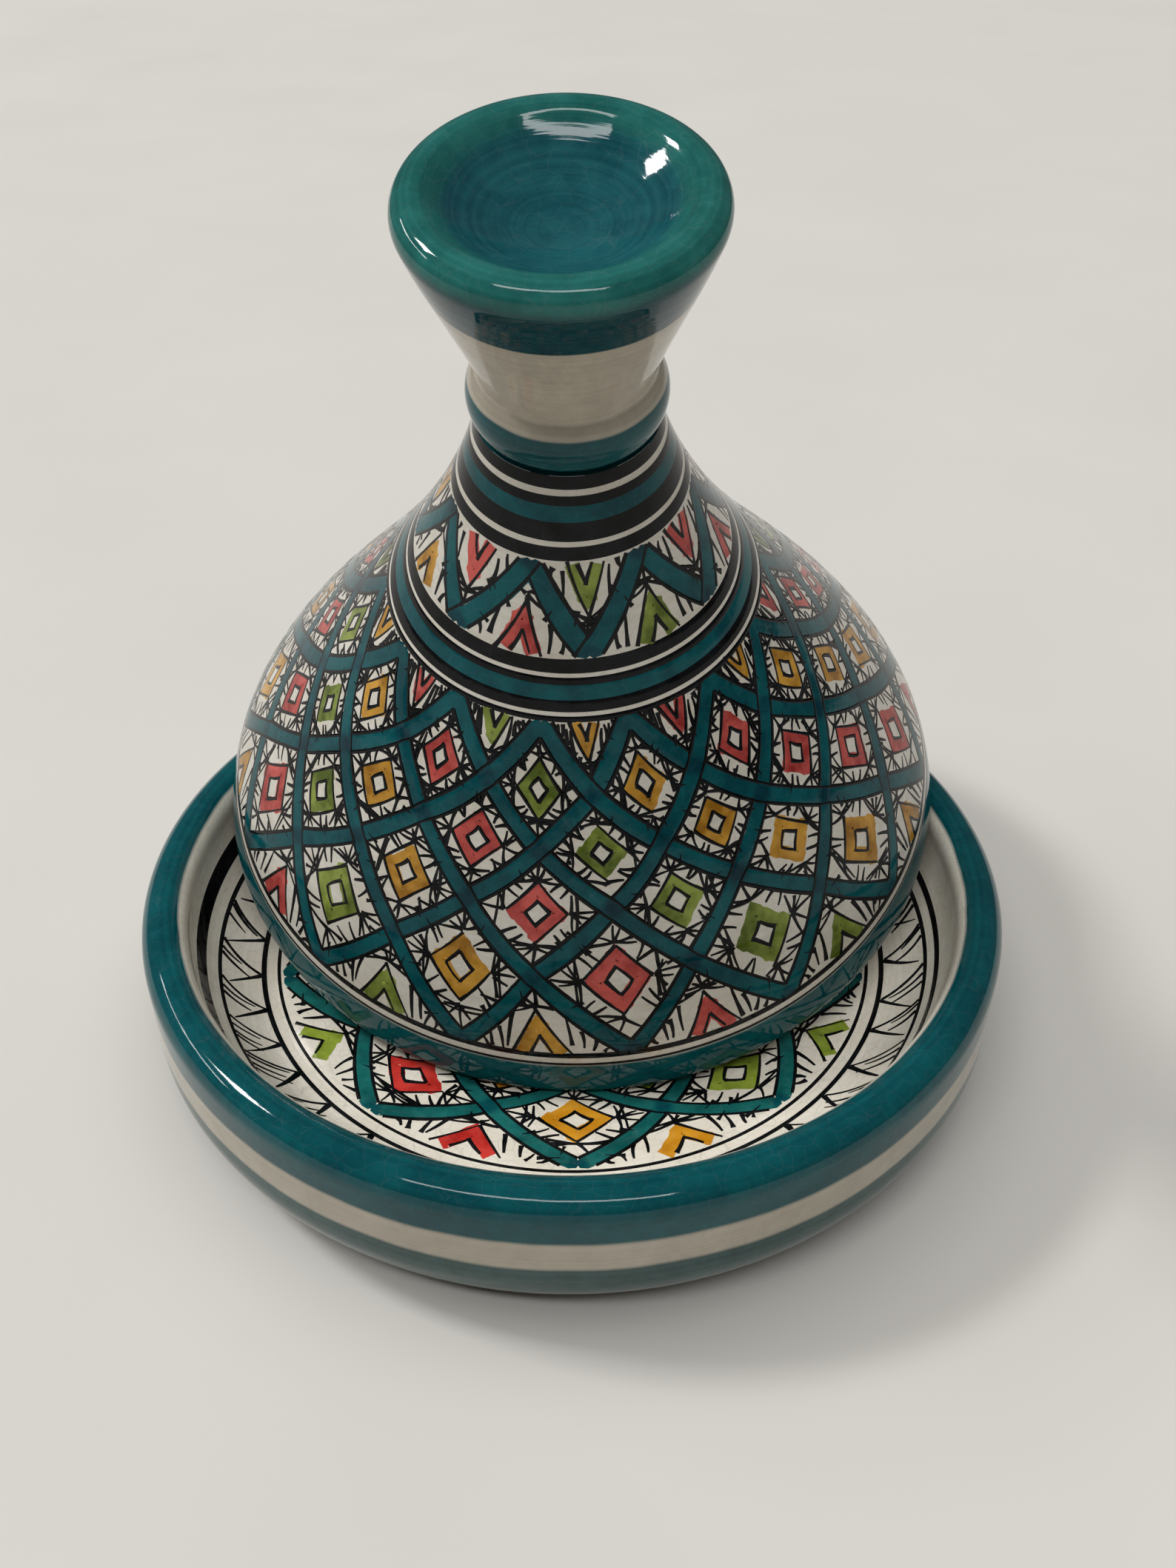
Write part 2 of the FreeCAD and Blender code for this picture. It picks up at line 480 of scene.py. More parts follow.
lidLook = {
    "edge": 87.6 * mm,
    "wall": 5.5 * mm,
    "neckHeight": 120.0 * mm,
    "neckRadius": 17.8 * mm,
    "skirtLean": 4.4 * mm,
    "skirtReach": 28.5 * mm,
    "throatSpread": 14.2 * mm,
    "throatReach": 51.0 * mm,
    "slip": 1.0 * mm,
    "rows": 250,
    "columns": 288,
    "ripple": 0.14 * mm,
    "edgeBand": 8.2 * mm,  # teal up to here from the edge
    "insideTeal": 3.0 * mm,  # teal carried over the edge to the inside
    "seamGlaze": 1.8 * mm,  # how far glaze runs into the seam under the knob
}


def lidFrame():
    ring = np.array([v.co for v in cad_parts["luting_ring"].data.vertices])
    middle = (ring.min(0) + ring.max(0)) / 2
    axis = np.linalg.svd(ring - middle, full_matrices=False)[2][2]
    axis = axis if axis[2] > 0 else -axis
    tilt = math.atan2(-axis[1], axis[2])
    height = lidLook["neckHeight"] + lidLook["slip"] / 2
    foot = Vector(middle) - Vector((0.0, -math.sin(tilt), math.cos(tilt))) * height
    print("lid tilt", round(math.degrees(tilt), 2), "foot", [round(v / mm, 2) for v in foot])
    return Matrix.Translation(foot) @ Matrix.Rotation(tilt, 4, "X")


def movedIn(poles, distance):
    # a control polygon moved inwards by one distance, with mitred corners
    legs = np.diff(poles, axis=0)
    sides = np.stack([-legs[:, 1], legs[:, 0]], 1) / np.hypot(*legs.T)[:, None]
    before, after = np.vstack([sides[:1], sides]), np.vstack([sides, sides[-1:]])
    miter = before + after
    return poles + miter * (2 * distance / (miter * miter).sum(1))[:, None]


lidPlace = lidFrame()
lidEdge, lidWall = lidLook["edge"], lidLook["wall"]
neckRadius, neckHeight = lidLook["neckRadius"], lidLook["neckHeight"]
neckBore = neckRadius - lidWall
lipRound = lidWall / 2
outerPoles = np.array([
    (lidEdge, lipRound),
    (lidEdge - lidLook["skirtLean"], lipRound + lidLook["skirtReach"]),
    (neckRadius + lidLook["throatSpread"], neckHeight - lidLook["throatReach"]),
    (neckRadius, neckHeight),
])
innerPoles = movedIn(outerPoles, lidWall)
innerPoles[0] = (lidEdge - lidWall, lipRound)
innerPoles[3] = (neckBore, neckHeight)
outerFace = bezierPoints(outerPoles)
lidProfile = joined(
    outerFace[::-1],
    arcPoints((lidEdge - lipRound, lipRound), lipRound, 0, -180),
    bezierPoints(innerPoles),
    [innerPoles[3], outerPoles[3]],
)
outerLength = lengths(outerFace)[-1]
lidZones = [
    (0.0, "cream"),
    (outerLength - lidLook["edgeBand"], "teal"),
    (outerLength + math.pi * lipRound + lidLook["insideTeal"], "cream"),
    (lengths(lidProfile)[-1] - lidLook["seamGlaze"], "teal"),
]
lidBody = throwBody("lid", lidLook, lidProfile, lidZones, lidPlace, "lid_cone", "lid")


# Knob

knobLook = {
    "radius": 28.6 * mm,
    "height": 47.2 * mm,
    "rim": 8.4 * mm,
    "beadHeight": 10.5 * mm,
    "beadPeak": 6.3 * mm,
    "beadBulge": 1.2 * mm,
    "waistRadius": 16.8 * mm,
    "waistLean": 0.8 * mm,
    "waistReach": 5.5 * mm,
    "flankAngle": 73.0,
    "flankReach": 9.4 * mm,
    "cupDepth": 8.8 * mm,
    "cupFloor": 6.0 * mm,
    "rows": 190,
    "columns": 192,
    "ripple": 0.1 * mm,
    "flankLine": 32.8 * mm,  # teal above, cream waist below, from the seam
    "beadLine": 7.8 * mm,  # teal from here down
    "rimInside": 5.2 * mm,  # the paler teal of the rim, partly its own tone and partly a painted sheen, inwards and outwards from its top
    "rimOutside": 6.5 * mm,
    "rimFade": 2.4 * mm,
}


def throughThree(*spots):
    # points on the circle through three points, from the first to the last
    spots = np.array(spots)
    squares = (spots ** 2).sum(1)
    centre = np.linalg.solve(2 * (spots[1:] - spots[0]), squares[1:] - squares[0])
    first, _, last = spots - centre
    turns = [math.degrees(math.atan2(way[1], way[0])) for way in (first, last)]
    return arcPoints(centre, math.hypot(*first), *turns)


seam = neckHeight + lidLook["slip"]
seamSpot = (neckRadius, seam)
beadTop = (knobLook["waistRadius"], seam + knobLook["beadHeight"])
beadSide = (neckRadius + knobLook["beadBulge"], seam + knobLook["beadPeak"])
knobRound = knobLook["rim"] / 2
knobRim = (knobLook["radius"] - knobRound, seam + knobLook["height"] - knobRound)
flankTurn, flankReach = math.radians(knobLook["flankAngle"]), knobLook["flankReach"]
flankEnd = (knobRim[0] + knobRound * math.sin(flankTurn), knobRim[1] - knobRound * math.cos(flankTurn))
flankPoles = [
    flankEnd,
    (flankEnd[0] - flankReach * math.cos(flankTurn), flankEnd[1] - flankReach * math.sin(flankTurn)),
    (beadTop[0] + knobLook["waistLean"], beadTop[1] + knobLook["waistReach"]),
    beadTop,
]
cupFloor = seam + knobLook["height"] - knobLook["cupDepth"]
rimRise = knobLook["cupDepth"] - knobRound
cupCurve = (knobRim[0] ** 2 + rimRise ** 2 - knobRound ** 2) / (2 * knobLook["cupDepth"])
cupCentre = (0.0, cupFloor + cupCurve)
cupEnd = math.degrees(math.atan2(knobRim[1] - cupCentre[1], knobRim[0]))
domeCentre = (0.0, cupFloor - knobLook["cupFloor"] - neckBore)
knobProfile = joined(
    arcPoints(cupCentre, cupCurve, -90, cupEnd),
    arcPoints(knobRim, knobRound, cupEnd + 180, knobLook["flankAngle"] - 90),
    bezierPoints(flankPoles),
    throughThree(beadTop, beadSide, seamSpot),
    [seamSpot, (neckBore, seam), (neckBore, domeCentre[1])],
    arcPoints(domeCentre, neckBore, 0, 90),
)
knobAlong = lengths(knobProfile)
rimTopAlong = knobAlong[np.argmax(knobProfile[:, 1])]
seamAlong = knobAlong[np.argmin(np.hypot(*(knobProfile - seamSpot).T))]


def knobReach(height):
    # distance along the profile, on the outside, at this height above the seam
    outside = (knobAlong > rimTopAlong) & (knobAlong < seamAlong)
    return np.interp(-height, seam - knobProfile[outside, 1], knobAlong[outside])


knobZones = [
    # cup: bluer teal, partly a painted reflection
    (0.0, "cupTealWithPaintedReflection"),
    # rim: paler teal, partly a painted sheen
    (rimTopAlong - knobLook["rimInside"], "rimTealWithPaintedSheen", knobLook["rimFade"]),
    # flank: darker teal, a painted dark reflection
    (rimTopAlong + knobLook["rimOutside"], "flankTealWithPaintedDarkReflection", knobLook["rimFade"]),
    # painted shade: the waist in a darker cream
    (knobReach(knobLook["flankLine"]), "creamWithPaintedShade"),
    (knobReach(knobLook["beadLine"]), "teal"),
    (seamAlong + lidLook["seamGlaze"], "clay"),
]
throwBody("knob", knobLook, knobProfile, knobZones, lidPlace, "knob", "lid")


# Slip ring: the CAD ring, in fired clay, with glaze run over its outside

slipLook = {"bareRough": 0.85, "glazedRough": 0.2}
slipMaterial, slipTree, slipShader, slipSpot = startMaterial("firedSlip")
slipGrain = blotches(slipTree, slipSpot)
slipMiddle = lidPlace @ Vector((0.0, 0.0, seam - lidLook["slip"] / 2))
slipReach = addNode(slipTree, "ShaderNodeVectorMath", {0: slipSpot, 1: slipMiddle}, operation="DISTANCE")
slipEdge = neckRadius - lidLook["seamGlaze"]
slipGlazed = calc(slipTree, "GREATER_THAN", slipReach.outputs["Value"], slipEdge)
slipShades = [mixed(slipTree, slipGrain, *tones(pigment)) for pigment in ("clay", "teal")]
slipTree.links.new(mixed(slipTree, slipGlazed, *slipShades), slipShader.inputs["Base Color"])
slipSmooth = slipLook["glazedRough"] - slipLook["bareRough"]
slipRough = calc(slipTree, "MULTIPLY_ADD", slipGlazed, slipSmooth, slipLook["bareRough"])
slipTree.links.new(slipRough, slipShader.inputs["Roughness"])
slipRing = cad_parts["luting_ring"]
slipRing.data.materials.clear()
slipRing.data.materials.append(slipMaterial)


# Painted strokes: drawn as lines in (turn in degrees from the front, distance along the surface), laid on
# the glaze by Geometry Nodes

brushLook = {
    "step": 1.3 * mm,  # between the points of a stroke
    "leastPress": 0.08,
    "pointShare": 0.4,  # width left at a pointed end
    "width": (0.8, 1.15),  # the hand's spread of widths
    "ringSteps": 240,
    "wobble": 0.12 * mm,
    "swings": (1, 2, 3, 5, 8),  # slow swings of the hand in one turn of the wheel
    "edgeLift": 0.008 * mm,
    "coatEdge": (1.95 * mm, 2.6 * mm),  # two coats end between these distances from a crossing
}


def strokeTree():
    tree, given = newTree(
        "brushedOnTheGlaze", Strokes="Object", Surface="Object", Crossings="Object", Lift="Float",
        Across="Int", Material="Material")
    lines, ground, knots = (shapeOf(tree, given[k]) for k in ("Strokes", "Surface", "Crossings"))
    upright = addNode(tree, "GeometryNodeInputNormal").outputs[0]
    spot = addNode(tree, "GeometryNodeInputPosition").outputs[0]

    def nearest(value):
        return addNode(tree, "GeometryNodeSampleNearestSurface", {"Mesh": ground, "Value": value},
                       data_type="FLOAT_VECTOR").outputs["Value"]

    standing = addNode(tree, "GeometryNodeSetCurveNormal", {
        "Curve": lines, "Normal": nearest(upright)}, mode="FREE").outputs[0]
    brush = addNode(tree, "GeometryNodeCurvePrimitiveLine", {
        "Start": (0.0, 1.0, 0.0), "End": (0.0, -1.0, 0.0)}).outputs[0]
    bristles = addNode(tree, "GeometryNodeResampleCurve", {
        "Curve": brush, "Count": given["Across"]}).outputs[0]
    factor = addNode(tree, "GeometryNodeSplineParameter").outputs["Factor"]
    aside = calc(tree, "ABSOLUTE", calc(tree, "SUBTRACT", factor, 0.5))
    outermost = calc(tree, "GREATER_THAN", aside, 0.49)
    marked = storeValue(tree, bristles, "brushEdge", outermost, "FLOAT", "POINT")
    width = addNode(tree, "GeometryNodeInputRadius").outputs[0]
    ribbon = addNode(tree, "GeometryNodeCurveToMesh", {
        "Curve": standing, "Profile Curve": marked, "Scale": width}).outputs[0]
    edge = readValue(tree, "brushEdge", "FLOAT")
    drop = calc(tree, "SUBTRACT", given["Lift"], brushLook["edgeLift"])
    height = calc(tree, "SUBTRACT", given["Lift"], calc(tree, "MULTIPLY", edge, drop))
    rise = addNode(tree, "ShaderNodeVectorMath", {0: nearest(upright), "Scale": height}, operation="SCALE")
    onGlaze = addNode(tree, "ShaderNodeVectorMath", {0: nearest(spot), 1: rise.outputs[0]}, operation="ADD")
    near = addNode(tree, "GeometryNodeProximity", {"Geometry": knots}, target_element="POINTS")
    coats = remap(tree, near.outputs["Distance"], *brushLook["coatEdge"], 1.0, 0.0)
    laid = addNode(tree, "GeometryNodeSetPosition", {"Geometry": ribbon, "Position": onGlaze.outputs[0]})
    coated = storeValue(tree, laid.outputs[0], "coats", coats, "FLOAT", "POINT")
    skin = readValue(tree, "OFBake", "FLOAT_VECTOR")
    mapped = storeValue(tree, coated, "OFBake", nearest(skin), "FLOAT2", "CORNER")
    endTree(tree, mapped, given["Material"])
    return tree


brushing = strokeTree()


def sidesOf(shape, closed):
    return list(zip(shape, shape[1:] + shape[:1])) if closed else list(zip(shape, shape[1:]))


class Ground:
    # where a stroke's (turn, reach) lies: reach runs along the profile in metres
    def __init__(self, face, place):
        self.reach, self.radius, self.height = lengths(face), face[:, 0], face[:, 1]
        self.place = place

    def across(self, reach):
        return float(np.interp(reach, self.reach, self.radius))

    def at(self, turn, reach):
        a, r = math.radians(turn), self.across(reach)
        z = float(np.interp(reach, self.reach, self.height))
        return self.place @ Vector((r * math.sin(a), -r * math.cos(a), z))

    def gap(self, first, last):
        # a step as (sideways, along) in metres
        middle = self.across((first[1] + last[1]) / 2)
        return math.radians(last[0] - first[0]) * middle, last[1] - first[1]


class Brush:
    # collects one pigment's strokes on one ground
    def __init__(self, ground):
        self.ground, self.runs, self.knots = ground, [], []

    def stroke(self, points, width, taper=0.0, bow=0.0, closed=False, swell=None,
               uneven=0.08, point=0.0, blob=0.0):
        # points: (turn, reach); width, bow and point in metres; swell: a width factor for each point
        path, factors = [], []
        swell = swell or [1.0] * len(points)
        for i, (first, last) in enumerate(sidesOf(points, closed)):
            side, rise = self.ground.gap(first, last)
            size = math.hypot(side, rise)
            count = max(2, math.ceil(size / brushLook["step"]))
            curve = stray(bow)
            across = max(self.ground.across((first[1] + last[1]) / 2), 1e-6)
            for j in range(count):
                t = j / count
                sag = curve * math.sin(math.pi * t) / max(size, 1e-9)
                turn = first[0] + (last[0] - first[0]) * t + math.degrees(sag * rise / across)
                path.append((turn, first[1] + rise * t - sag * side))
                factors.append(swell[i] + (swell[(i + 1) % len(swell)] - swell[i]) * t)
        if not closed:
            path.append(points[-1])
            factors.append(swell[-1])
        halves = []
        for i, factor in enumerate(factors):
            t = i / max(1, len(factors) - 1)
            press = max(1.0 - taper * t * t + blob * max(0.0, 1 - 4 * t), brushLook["leastPress"])
            halves.append(0.5 * width * factor * press * (1 + stray(uneven)))
        spots = [self.ground.at(*p) for p in path]
        if point:
            least = brushLook["pointShare"]
            for i, spot in enumerate(spots):
                toEnd = min((spot - spots[0]).length, (spot - spots[-1]).length)
                halves[i] *= least + (1 - least) * min(1.0, toEnd / point)
        self.runs.append((spots, halves, closed))

    def dab(self, points, width, taper, bow, blob):
        self.stroke(points, width * hand.uniform(*brushLook["width"]), taper, bow, blob=blob)

    def ring(self, low, high, heavy=0.0, aside=0.0):
        # a band turned on the wheel between two distances; heavier and set outwards on the left
        drift, breath = [self.slow() for _ in range(2)]
        count, wobble = brushLook["ringSteps"], brushLook["wobble"]
        points, halves = [], []
        for i in range(count):
            turn = 360.0 * i / count
            leftward = -math.sin(math.radians(turn))
            middle = (low + high) / 2 + wobble * drift(turn) + aside * leftward
            points.append(self.ground.at(turn, middle))
            halves.append((high - low) / 2 * (1 + heavy * leftward) + 0.5 * wobble * breath(turn))
        self.runs.append((points, halves, True))

    @staticmethod
    def slow():
        waves = [(n, hand.uniform(0, 360), hand.uniform(0.3, 1.0) / n ** 0.5) for n in brushLook["swings"]]

        def sway(turn):
            return sum(size * math.sin(math.radians(n * turn + start)) for n, start, size in waves) / 2

        return sway


fillColours = ("red", "yellow", "green")
paintLifts = {"teal": 0.034 * mm, "black": 0.05 * mm, **dict.fromkeys(fillColours, 0.022 * mm)}


def layPaints(part, brushes, surface, paints):
    # a piece for each pigment, such as lidTealPaint
    for pigment, brush in brushes.items():
        name = part + pigment.capitalize() + "Paint"
        helper = lineCurve(name + "Lines", brush.runs)
        knotMesh = bpy.data.meshes.new(name + "Knots")
        knotMesh.from_pydata(brush.knots or [(0.0, 0.0, -1.0)], [], [])
        knots = addPiece(name + "Knots", knotMesh)
        piece = grow(
            name, brushing, Strokes=helper, Surface=surface, Crossings=knots, Lift=paintLifts[pigment],
            Across=4 if pigment == "black" else 6, Material=paints[pigment])
        dropCurve(helper)
        bpy.data.objects.remove(knots)
        bpy.data.meshes.remove(knotMesh)
        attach(piece, part)
        print(name, len(brush.runs), "strokes,", len(piece.data.polygons), "faces")


# One painted cell: a coloured square ring between four corners, outlined, with hatching round it

cellLook = {
    "ringHalf": 0.168,  # middle of the coloured ring, as a share of the cell
    "ringShare": 0.135,  # its width as a share of the cell's side
    "ringNarrow": 0.87,  # rings are squarer than their cells
    "markTall": 1.18,  # the open marks of half cells are taller and narrower
    "markWide": 0.67,
    "outlineOut": 0.243,
    "outlineIn": 0.102,
    "border": 0.98 * mm,
    "ringLoose": 0.012,  # how far corners stray from their places
    "outlineLoose": 0.014,
    "borderLoose": 0.006,
    "cornerSwell": 1.4,  # rings are wider at their corners, so that these stay square
    "cornerRun": (0.0, 0.2, 0.8),
    "openSide": 0.16,  # how often an outer side is left open
    "overrun": 0.08,  # outlines start this much early
    "hairs": (0, 1, 1, 2),  # hairs across one side of the border
    "hairSpan": (0.12, 0.88),
    "hairReach": 0.14,
    "starChance": 0.8,
    "starGap": 0.022,  # from a corner of the outline to the middle of its star
    "starShares": (0.15, 0.29, 0.42),  # where the arms of a star meet the border
    "starReach": (0.78, 1.0),
    "starBack": 0.25,  # how often an arm is drawn from the border
    "tickShares": (0.44, 0.57),
    "tickReach": (0.75, 1.05),
    "fanShares": (0.38, 0.55, 0.72, 0.87),  # half cells: long strokes from the border to the line below
    "fanStart": (0.0, 0.12),
    "fanReach": (0.75, 0.98),
    "fanLean": 0.3,  # how far they lean towards the mark
    "fanBack": 0.3,
    "tieShare": 0.36,  # a long hair ties two sides of the border past a corner
    "halfTie": 0.22,
    "tieChance": 0.75,
    "seldomTie": 0.25,  # above and below a ring
}
cellStrokes = {  # width, taper, bow, blob at the start
    "outline": (0.8 * mm, 0.3, 0.25 * mm, 0.2),
    "innerOutline": (0.98 * mm, 0.3, 0.25 * mm, 0.2),
    "border": (cellLook["border"], 0.12, 0.3 * mm, 0.0),
    "hair": (0.78 * mm, 0.5, 0.0, 0.4),
    "star": (0.78 * mm, 0.35, 0.25 * mm, 0.4),
    "tie": (0.78 * mm, 0.3, 0.5 * mm, 0.0),
    "tick": (0.78 * mm, 0.35, 0.2 * mm, 0.3),
    "fan": (0.95 * mm, 0.45, 0.3 * mm, 0.3),
}


def between(first, last, share):
    return tuple(p + (q - p) * share for p, q in zip(first, last))


def inCell(corners, a, b):
    # corners: bottom, right, top, left
    weights = ((1 - a) * (1 - b), a * (1 - b), a * b, (1 - a) * b)
    return tuple(sum(w * corner[i] for w, corner in zip(weights, corners)) for i in (0, 1))


def ringShape(half, part):
    # ring corners in (a, b): bottom, right, top, left; half cells have one open mark
    if part == "full":
        tall, wide = half, half * cellLook["ringNarrow"]
    else:
        tall, wide = half * cellLook["markTall"], half * cellLook["markWide"]
    bottom, top = (0.5 - tall, 0.5 - tall), (0.5 + tall, 0.5 + tall)
    right, left = (0.5 + wide, 0.5 - wide), (0.5 - wide, 0.5 + wide)
    shapes = {"full": [bottom, right, top, left], "lower": [left, bottom, right], "upper": [left, top, right]}
    return shapes[part]


def loose(spot, amount):
    return tuple(v + stray(amount) for v in spot)


def paintCell(brushes, corners, colour, part, bandHalf, fanShares=cellLook["fanShares"]):
    black, full = brushes["black"], part == "full"
    sides = [black.ground.gap(corners[0], corners[i]) for i in (3, 1)]
    area = abs(sides[0][0] * sides[1][1] - sides[0][1] * sides[1][0])
    insetA, insetB = (bandHalf * math.hypot(*side) / area for side in sides)

    def draw(ends, kind):
        black.dab([inCell(corners, *end) for end in ends], *cellStrokes[kind])

    # coloured ring
    points, swell = [], []
    shape = [loose(ab, cellLook["ringLoose"]) for ab in ringShape(cellLook["ringHalf"], part)]
    for i, (first, last) in enumerate(sidesOf(shape, full)):
        points += [inCell(corners, *between(first, last, t)) for t in cellLook["cornerRun"]]
        swell += [cellLook["cornerSwell"] if full or i else 1.0, 1.0, 1.0]
    if not full:
        points.append(inCell(corners, *shape[-1]))
        swell.append(1.0)
    ringWidth = cellLook["ringShare"] * math.sqrt(area)
    brushes[colour].stroke(points, ringWidth, closed=full, swell=swell, uneven=0.1)

    # loose outlines outside and inside the colour; now and then an outer side is left open
    for kind, half, leftOpen in (
            ("outline", cellLook["outlineOut"], cellLook["openSide"]),
            ("innerOutline", cellLook["outlineIn"], 0.0)):
        shape = [loose(ab, cellLook["outlineLoose"]) for ab in ringShape(half, part)]
        for first, last in sidesOf(shape, full):
            if hand.random() >= leftOpen:
                start = between(first, last, -hand.uniform(0.0, cellLook["overrun"]))
                draw([start, last], kind)

    # border along the bands, with a hair or two across it
    low, high = (insetA, insetB), (1 - insetA, 1 - insetB)
    frameCorners = (low, (high[0], low[1]), high, (low[0], high[1]))
    border = [loose(ab, cellLook["borderLoose"]) for ab in frameCorners]
    keep = {"full": (0, 1, 2, 3), "lower": (0, 3), "upper": (1, 2)}[part]
    for side in keep:
        first, last = border[side], border[(side + 1) % 4]
        draw([first, last], "border")
        for _ in range(hand.choice(cellLook["hairs"])):
            start = loose(between(first, last, hand.uniform(*cellLook["hairSpan"])), 0.02)
            draw([between(start, (0.5, 0.5), way * cellLook["hairReach"]) for way in (1, -1)], "hair")

    # stars: arms from just outside the ring's corners to the border
    outline = ringShape(cellLook["outlineOut"] + cellLook["starGap"], part)
    tips = dict(enumerate(outline)) if full else {0 if part == "lower" else 2: outline[1]}
    for corner, tip in tips.items():
        here = border[corner]
        meets = [here]
        for way in (1, -1):
            far = border[(corner + way) % 4]
            meets += [between(here, far, share + stray(0.05)) for share in cellLook["starShares"]]
        for meet in meets:
            if hand.random() < cellLook["starChance"]:
                start = loose(tip, cellLook["outlineLoose"])
                ends = [start, between(tip, meet, hand.uniform(*cellLook["starReach"]))]
                if hand.random() < cellLook["starBack"]:
                    ends.reverse()
                draw(ends, "star")
        often = corner in (1, 3) or not full
        if hand.random() < cellLook["tieChance" if often else "seldomTie"]:
            tie = cellLook["tieShare" if full else "halfTie"] + stray(0.06)
            draw([between(here, border[(corner + way) % 4], tie) for way in (1, -1)], "tie")

    # ticks from the border to the ring's sides; half cells have long strokes instead
    for side in keep:
        first, last = border[side], border[(side + 1) % 4]
        if full:
            for share in cellLook["tickShares"]:
                start = between(first, last, share + stray(0.04))
                facing = between(outline[side], outline[(side + 1) % 4], share + stray(0.16))
                draw([start, between(start, facing, hand.uniform(*cellLook["tickReach"]))], "tick")
        else:
            peak, foot = (first, last) if side in (0, 2) else (last, first)
            leg = outline[2] if side < 2 else outline[0]
            for share in fanShares:
                start = between(peak, foot, share + stray(0.04))
                facing = between(leg, foot, share - cellLook["fanLean"] + stray(0.08))
                reaches = [hand.uniform(*cellLook[k]) for k in ("fanStart", "fanReach")]
                ends = [between(start, facing, reach) for reach in reaches]
                if hand.random() < cellLook["fanBack"]:
                    ends.reverse()
                draw(ends, "fan")
    return [inCell(corners, *ab) for ab in border]


bandStroke = {"uneven": 0.06, "point": 1.6 * mm}  # the teal bands, drawn in to a point at their ends
cellWays = ((0, -1), (1, 0), (0, 1), (-1, 0))  # steps from a cell to its corners: bottom, right, top, left


def paintLattice(brushes, look):
    # rings of crossings: ring k has a crossing at each half step c where c + k is even
    teal, rings, repeats = brushes["teal"], look["rings"], look["repeats"]
    half, last = 180.0 / repeats, len(rings) - 1
    jitter, meets = {}, {}

    def crossing(c, k):
        key = (c % (2 * repeats), k)
        if key not in jitter:
            edge = 0.4 if k in (0, last) else 1.0  # steadier along the lines above and below
            jitter[key] = (hand.gauss(0, look["unevenTurn"]), edge * hand.gauss(0, look["unevenReach"]))
        reach = rings[min(max(k, 0), last)]
        if k < 0:
            reach = 2 * rings[0] - rings[1]
        if k > last:
            reach = 2 * rings[-1] - rings[-2]
        twist = look["twist"] * (reach - rings[0]) / (rings[-1] - rings[0])
        shift = jitter[key] if 0 <= k <= last else (0.0, 0.0)
        return look["phase"] + c * half + twist + shift[0], reach + shift[1]

    for start in range(0, 2 * repeats, 2):
        for lean in (1, -1):
            path = [crossing(start + lean * k, k) for k in range(last + 1)]
            teal.stroke(path, look["band"], bow=0.25 * mm, **bandStroke)
            teal.knots += [teal.ground.at(*p) for p in path[:-1]]
    for k in range(last + 1):
        for c in range(-repeats, repeats):
            if (c + k) % 2 == 0:
                continue
            corners = [crossing(c, k - 1), crossing(c + 1, k), crossing(c, k + 1), crossing(c - 1, k)]
            part = "upper" if k == 0 else "lower" if k == last else "full"
            colour = look["colours"][(c + k - 1) // 2 % len(look["colours"])]
            ends = paintCell(brushes, corners, colour, part, look["band"] / 2)
            for (stepC, stepK), end in zip(cellWays, ends):
                meets.setdefault(((c + stepC) % (2 * repeats), k + stepK), {})[stepC, stepK] = end
    # at each crossing one band runs over the other, and its border runs on
    for key in sorted(meets):
        if 0 < key[1] < last:
            above, left, below, right = (meets[key][way] for way in cellWays)
            over = hand.random() < 0.5
            pairs = ((left, above), (below, right)) if over else ((left, below), (above, right))
            for first, other in pairs:
                wrap = 360.0 * round((first[0] - other[0]) / 360.0)
                ends = [first, (other[0] + wrap, other[1])]
                brushes["black"].stroke(ends, cellLook["border"], bow=0.2 * mm)


# Lid painting

lidGround = Ground(outerFace, lidPlace)
paintOrder = ("teal", "black", *fillColours)
lidBrushes = {pigment: Brush(lidGround) for pigment in paintOrder}
lidRings = {
    "black": ((134.75, 137.5), (131.3, 133.4), (124.1, 128.1), (120.2, 123.0), (97.05, 100.0), (94.6, 96.2),
              (88.9, 91.5), (86.8, 88.1), (10.2, 11.7), (8.2, 8.9)),
    "teal": ((128.0, 131.5), (91.4, 94.7)),
}
for pigment, bands in lidRings.items():
    for low, high in bands:
        lidBrushes[pigment].ring(low * mm, high * mm)

lidLattice = {
    "repeats": 14,
    "rings": [v * mm for v in (11.6, 30.5, 45.5, 58.5, 71.8, 87.0)],
    "phase": 10.4,
    "twist": -4.3,
    "band": 3.9 * mm,
    "unevenTurn": 0.55,
    "unevenReach": 0.5 * mm,
    "colours": ("red", "green", "yellow", "red", "yellow") + ("red", "green", "yellow") * 3,
}
paintLattice(lidBrushes, lidLattice)

neckZigzag = {
    "repeats": 7,
    "low": 100.6 * mm,
    "high": 119.6 * mm,
    "phase": 9.9,
    "unevenTurn": 1.2,
    "band": 4.6 * mm,
    "fanShares": (0.5, 0.78),
    "colours": ("green", "red", "yellow", "green", "red", "yellow", "red"),
}


